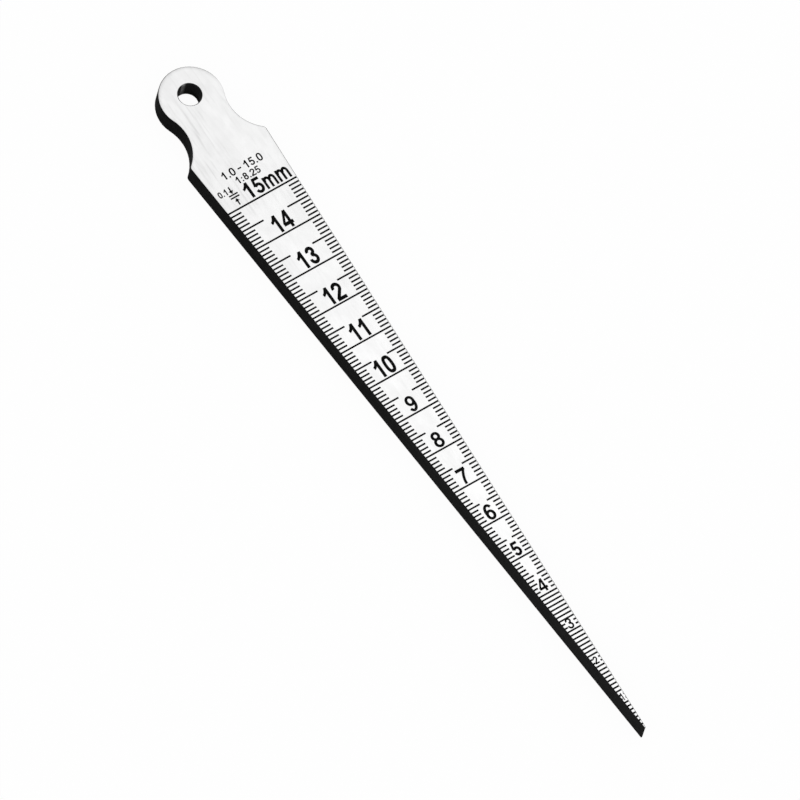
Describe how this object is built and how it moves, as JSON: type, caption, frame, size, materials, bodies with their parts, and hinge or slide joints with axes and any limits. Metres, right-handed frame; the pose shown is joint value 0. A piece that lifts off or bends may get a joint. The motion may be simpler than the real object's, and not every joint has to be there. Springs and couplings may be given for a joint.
{
  "type": "taper gauge",
  "caption": "Flat steel wedge gauge with a round head, a hang hole and an engraved scale on one face that reads the width of a gap or bore where the taper stops.",
  "frame": {"origin": "middle of the length and width, on the back face that the gauge lies on", "axes": "+X along the gauge from the head to the tip, +Y across it, +Z out of the graduated face"},
  "size_m": [0.15, 0.0164, 0.0043],
  "materials": {
    "steel": "bright steel faces brushed along the length, with black side walls and hole wall",
    "ink": "matt black filling of the graduations and black figures"
  },
  "bodies": {
    "root": {"gauge": "steel"}
  },
  "joints": []
}
